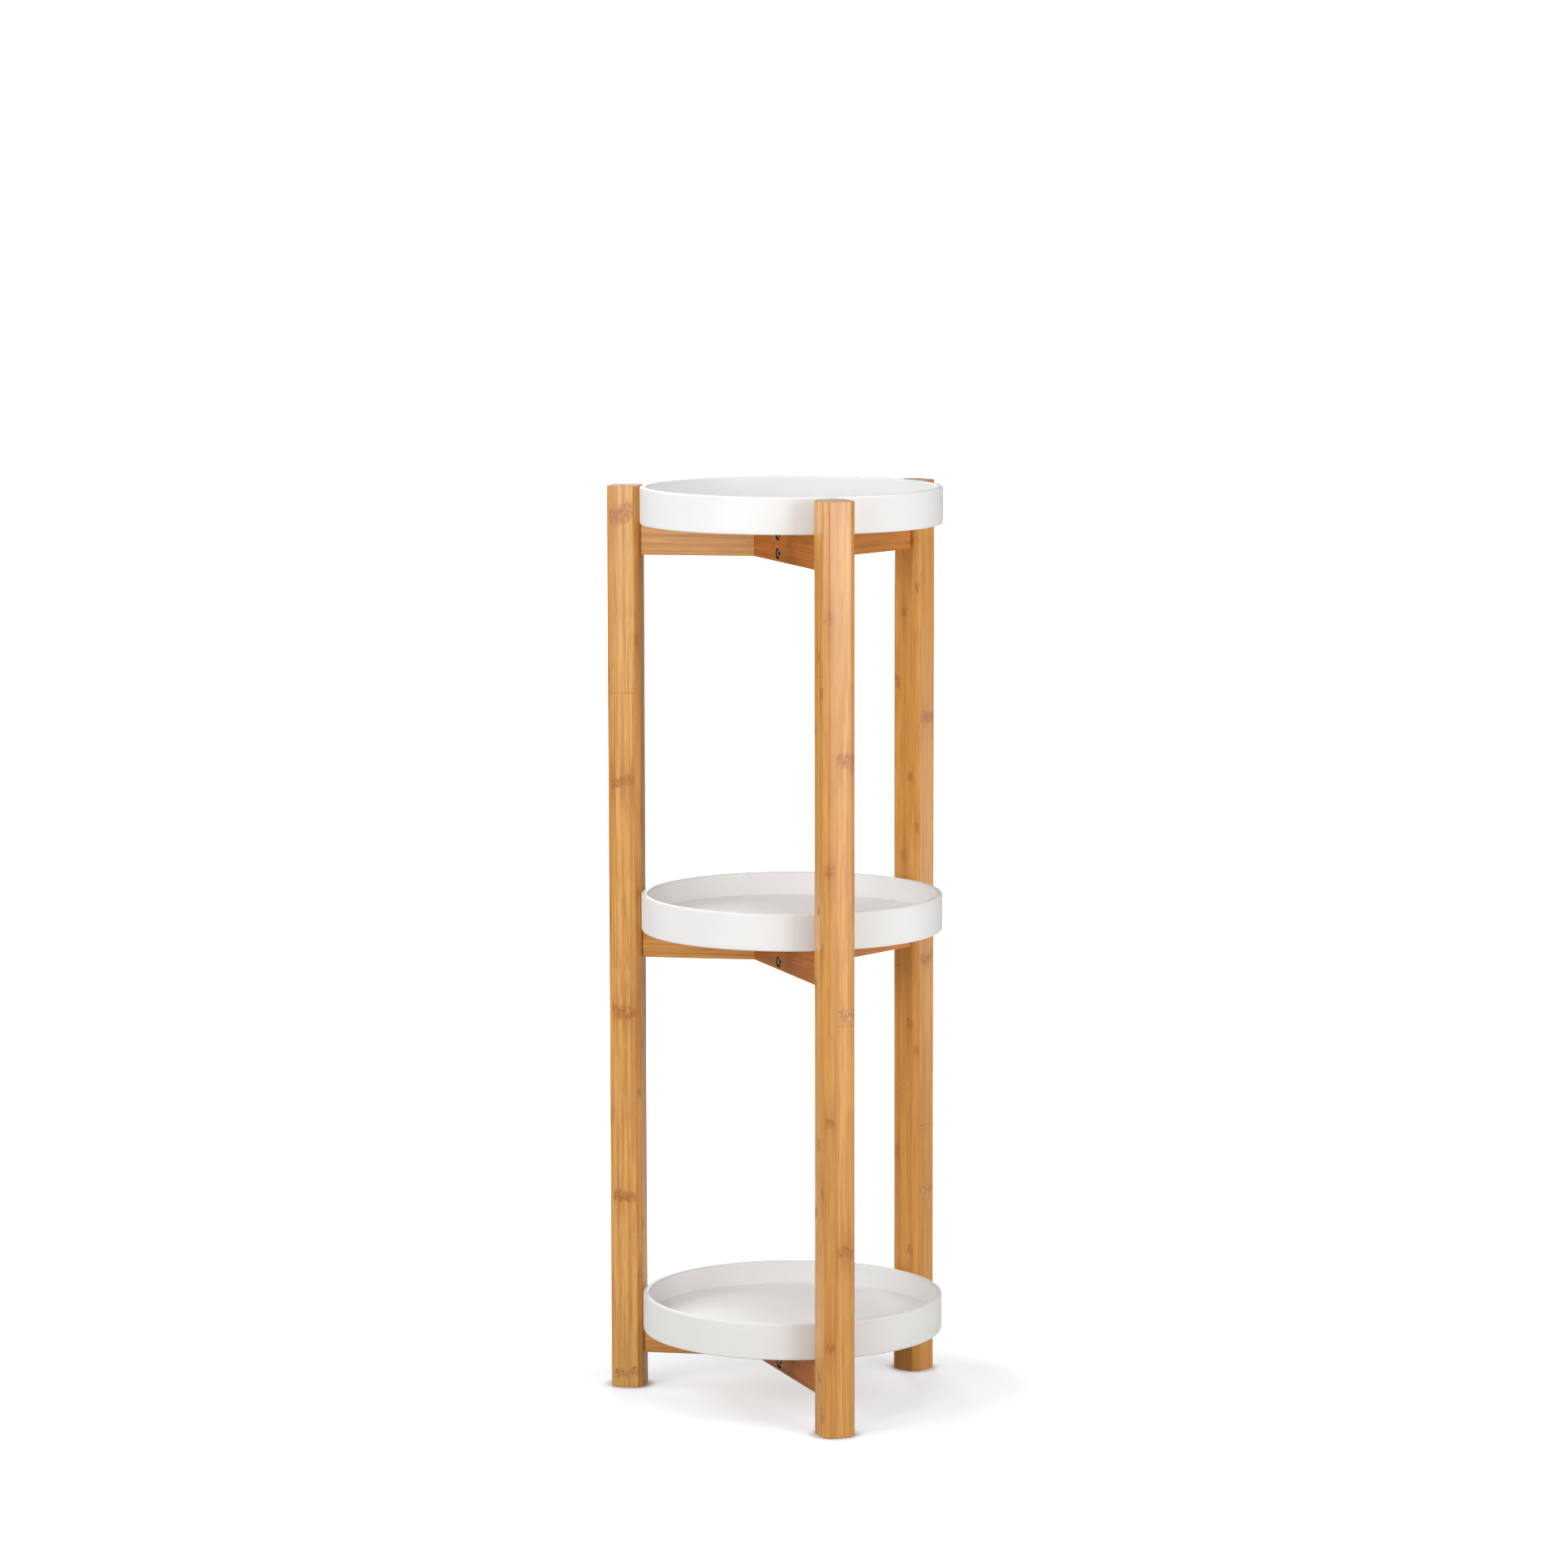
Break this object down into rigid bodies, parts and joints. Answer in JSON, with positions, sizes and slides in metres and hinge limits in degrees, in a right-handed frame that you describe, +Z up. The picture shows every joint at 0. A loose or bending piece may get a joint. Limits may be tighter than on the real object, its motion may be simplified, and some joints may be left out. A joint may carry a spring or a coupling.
{
  "type": "plant shelf",
  "caption": "Tall bamboo plant stand with chamfered posts, crossbars bolted in a pinwheel and round white rimmed trays that lift off.",
  "frame": {"origin": "on the floor, in the middle of the stand's footprint; the stand's own axis is upright at x -8.75 mm, y 16.5 mm", "axes": "+Z up along the legs, -Y towards the front leg and its crossbars"},
  "size_m": [0.294, 0.295, 0.8015],
  "materials": {
    "bamboo": "laminated bamboo with clear satin lacquer",
    "tray_paint": "satin white paint on fibreboard",
    "bolt_steel": "zinc-plated steel",
    "insert_steel": "zinc-plated steel",
    "dowel_wood": "plain beech"
  },
  "bodies": {
    "frame": {"leg_front": "bamboo", "leg_right": "bamboo", "leg_left": "bamboo", "bar_top_front": "bamboo", "bar_top_right": "bamboo", "bar_top_left": "bamboo", "bolts_top": "bolt_steel", "inserts_top": "insert_steel", "dowels_top": "dowel_wood", "bar_middle_front": "bamboo", "bar_middle_right": "bamboo", "bar_middle_left": "bamboo", "bolts_middle": "bolt_steel", "inserts_middle": "insert_steel", "dowels_middle": "dowel_wood", "bar_bottom_front": "bamboo", "bar_bottom_right": "bamboo", "bar_bottom_left": "bamboo", "bolts_bottom": "bolt_steel", "inserts_bottom": "insert_steel", "dowels_bottom": "dowel_wood"},
    "tray_top": {"tray_top_hoop": "tray_paint", "tray_top_base": "tray_paint"},
    "tray_middle": {"tray_middle_hoop": "tray_paint", "tray_middle_base": "tray_paint"},
    "tray_bottom": {"tray_bottom_hoop": "tray_paint", "tray_bottom_base": "tray_paint"}
  },
  "joints": [
    {"name": "tray_top_lift", "type": "slide", "parent": "frame", "child": "tray_top", "axis": [0, 0, 1], "range_m": [0, 0.2]},
    {"name": "tray_middle_lift", "type": "slide", "parent": "frame", "child": "tray_middle", "axis": [0, 0, 1], "range_m": [0, 0.29]},
    {"name": "tray_bottom_lift", "type": "slide", "parent": "frame", "child": "tray_bottom", "axis": [0, 0, 1], "range_m": [0, 0.29]}
  ]
}
